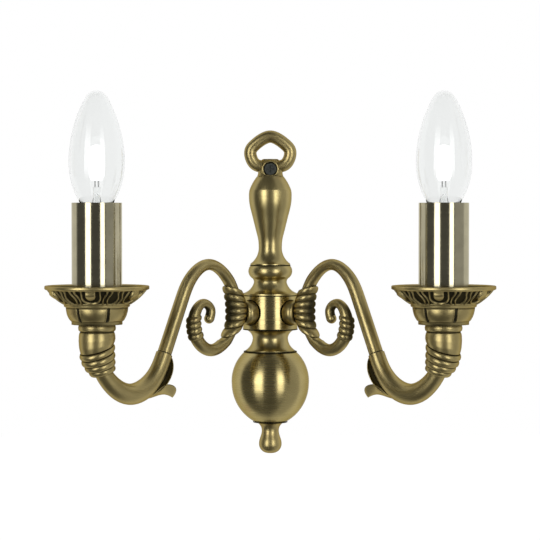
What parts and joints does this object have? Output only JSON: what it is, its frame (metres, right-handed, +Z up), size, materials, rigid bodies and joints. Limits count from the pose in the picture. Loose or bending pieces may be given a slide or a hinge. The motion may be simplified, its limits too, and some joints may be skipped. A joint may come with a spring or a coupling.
{
  "type": "double arm wall sconce",
  "caption": "Antique brass wall sconce: a turned column cut flat for the wall, with two cast scroll arms that carry drip pans, candle sleeves and clear candle lamps.",
  "frame": {"origin": "on the wall plane, on the column's centreline, midway between the bracket's two wall holes, level with the arms' stubs", "axes": "+Z up along the column, +Y into the wall, +X to the viewer's right, so the arms and lamps stand out towards -Y"},
  "size_m": [0.2802, 0.1374, 0.2365],
  "materials": {
    "cast_brass": "antique patina, satin",
    "turned_brass": "antique patina, satin, turned",
    "sleeve_brass": "antique patina, fine brushing",
    "dark_steel": "blackened",
    "zinc_steel": "zinc plated",
    "contact_brass": "bright",
    "holder_plastic": "matt",
    "terminal_plastic": "matt",
    "lamp_glass": "clear",
    "lamp_capsule": "frosted, lit",
    "cap_metal": "plain",
    "insulator": "vitrite",
    "solder": "dull",
    "wire": "plain"
  },
  "bodies": {
    "fitting": {"ring_hanger": "cast_brass", "fixing_screw": "dark_steel", "baluster": "turned_brass", "upper_reel": "turned_brass", "hub_drum": "turned_brass", "lower_cove": "turned_brass", "ball": "turned_brass", "finial": "cast_brass", "clamp_rod": "zinc_steel", "column_nuts": "zinc_steel", "wall_bracket": "zinc_steel", "terminal_block": "terminal_plastic", "terminal_screws": "zinc_steel", "earth_screw": "contact_brass", "earth_washer": "contact_brass", "left_arm_scroll": "cast_brass", "right_arm_scroll": "cast_brass", "left_arm_elbow": "cast_brass", "right_arm_elbow": "cast_brass", "left_arm_nut": "zinc_steel", "right_arm_nut": "zinc_steel", "left_drip_pan": "cast_brass", "right_drip_pan": "cast_brass", "left_nipple": "zinc_steel", "right_nipple": "zinc_steel", "left_pan_nut": "zinc_steel", "right_pan_nut": "zinc_steel", "left_lampholder": "holder_plastic", "right_lampholder": "holder_plastic", "left_lampholder_shell": "contact_brass", "right_lampholder_shell": "contact_brass", "left_lampholder_contact": "contact_brass", "right_lampholder_contact": "contact_brass"},
    "left_lamp": {"left_bulb_glass": "lamp_glass", "left_bulb_cap": "cap_metal", "left_bulb_insulator": "insulator", "left_bulb_contact": "solder", "left_bulb_stem": "lamp_glass", "left_bulb_capsule": "lamp_capsule", "left_bulb_supports": "wire"},
    "left_sleeve": {"left_candle_sleeve": "sleeve_brass"},
    "right_lamp": {"right_bulb_glass": "lamp_glass", "right_bulb_cap": "cap_metal", "right_bulb_insulator": "insulator", "right_bulb_contact": "solder", "right_bulb_stem": "lamp_glass", "right_bulb_capsule": "lamp_capsule", "right_bulb_supports": "wire"},
    "right_sleeve": {"right_candle_sleeve": "sleeve_brass"}
  },
  "joints": [
    {"name": "left_lamp_removal", "type": "slide", "parent": "fitting", "child": "left_lamp", "axis": [0, 0, 1], "range_m": [0, 0.045]},
    {"name": "left_sleeve_lift", "type": "slide", "parent": "fitting", "child": "left_sleeve", "axis": [0, 0, 1], "range_m": [0, 0.008]},
    {"name": "right_lamp_removal", "type": "slide", "parent": "fitting", "child": "right_lamp", "axis": [0, 0, 1], "range_m": [0, 0.045]},
    {"name": "right_sleeve_lift", "type": "slide", "parent": "fitting", "child": "right_sleeve", "axis": [0, 0, 1], "range_m": [0, 0.008]}
  ]
}
